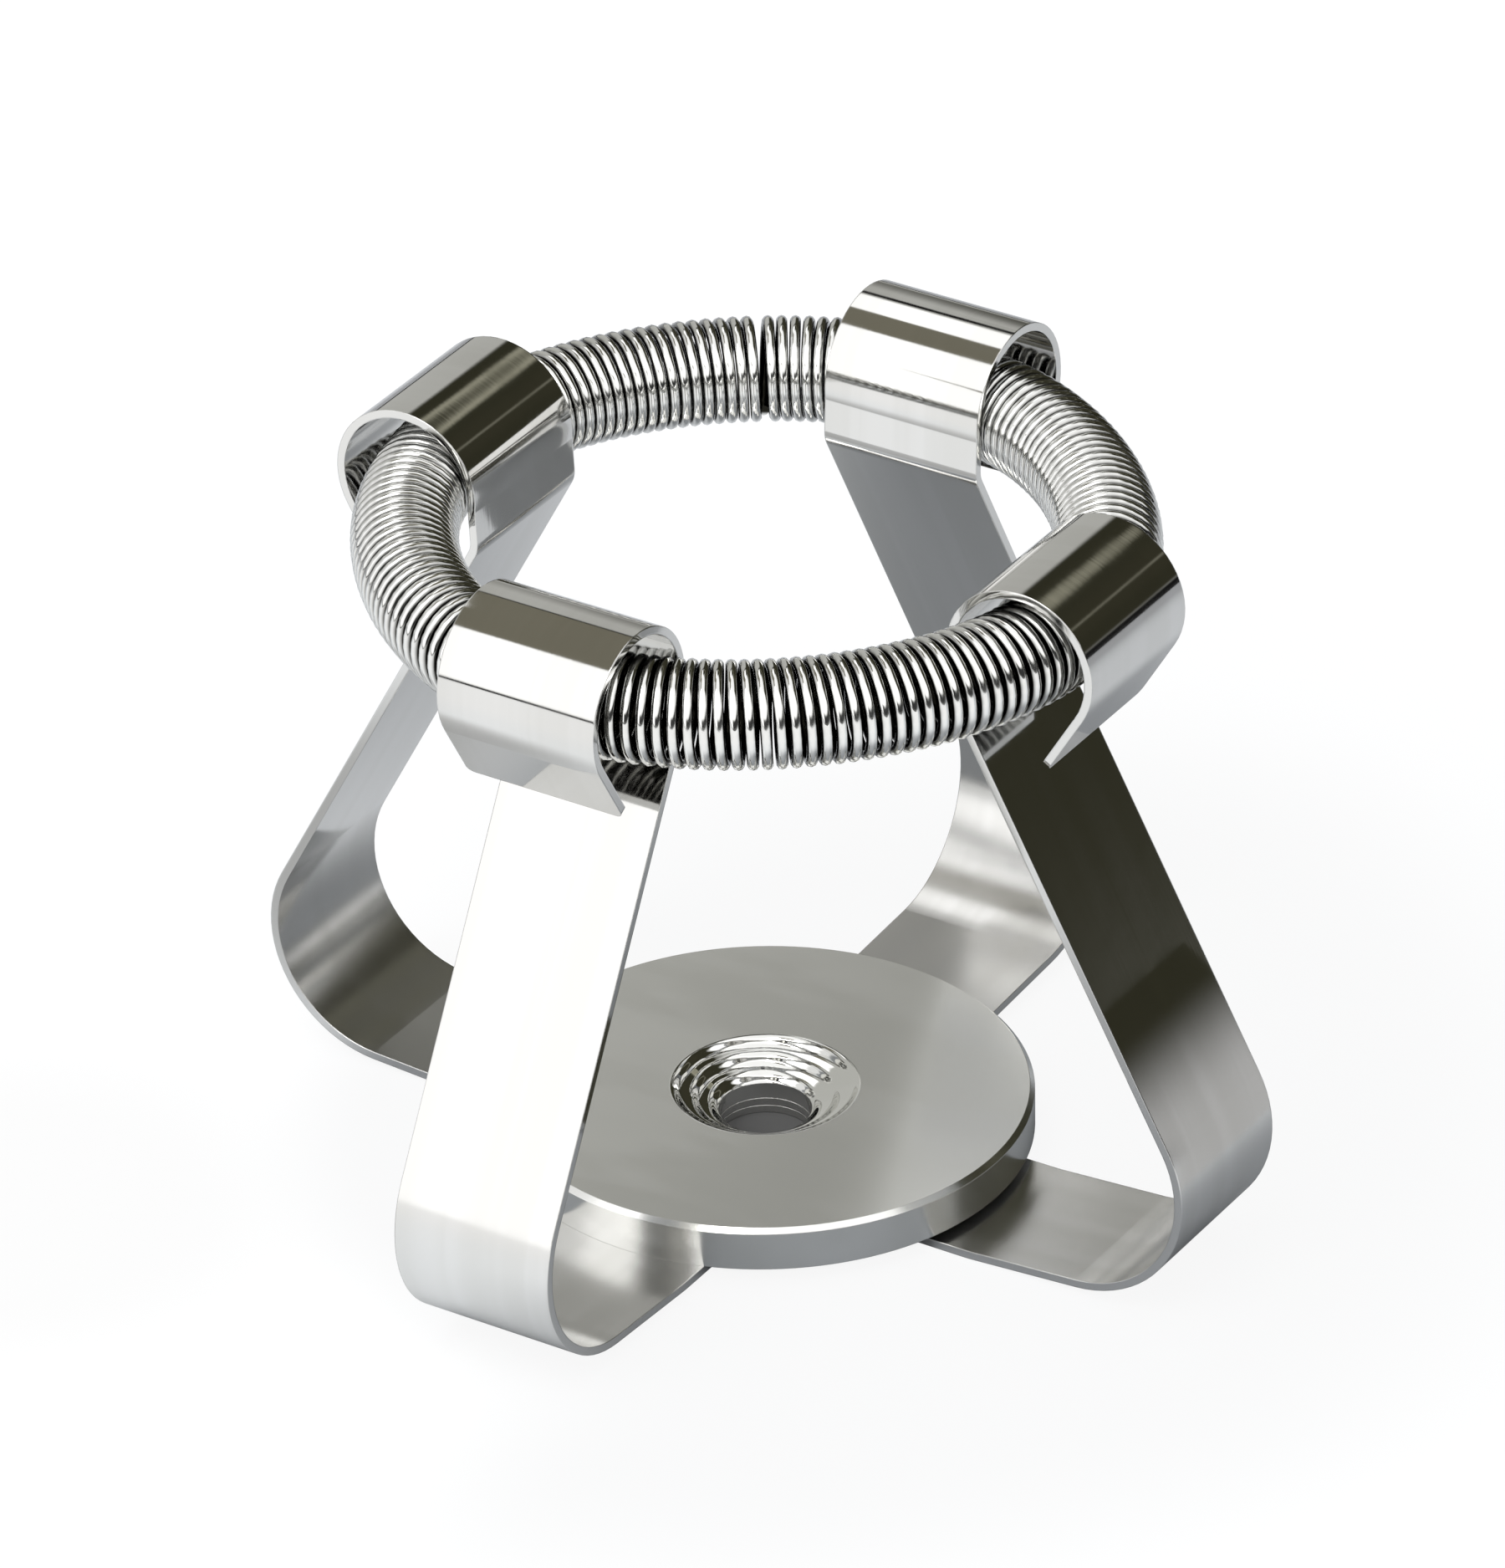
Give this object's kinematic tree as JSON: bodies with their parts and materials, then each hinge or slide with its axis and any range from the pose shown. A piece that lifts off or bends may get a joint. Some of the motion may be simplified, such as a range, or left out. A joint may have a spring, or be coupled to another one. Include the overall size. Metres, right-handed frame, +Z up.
{
  "type": "shaker flask clamp",
  "caption": "Spring clamp that holds a conical flask on a shaker platform: bent steel arms on a round base plate, with a coil spring ring in their hooks and a countersunk screw hole.",
  "frame": {"origin": "on the screw hole's axis, in the plane of the lower strip's underside, which rests on the shaker platform", "axes": "+Z up along the screw hole's axis, +X along the lower strip's arms, +Y along the upper strip's arms"},
  "size_m": [0.075, 0.075, 0.0549],
  "materials": {
    "plate_steel": "ground and lightly polished stainless steel",
    "strip_steel": "bright polished spring steel strip",
    "spring_wire": "bright drawn spring wire"
  },
  "bodies": {
    "root": {"base_plate": "plate_steel", "lower_strip": "strip_steel", "upper_strip": "strip_steel", "ring_spring": "spring_wire"}
  },
  "joints": []
}
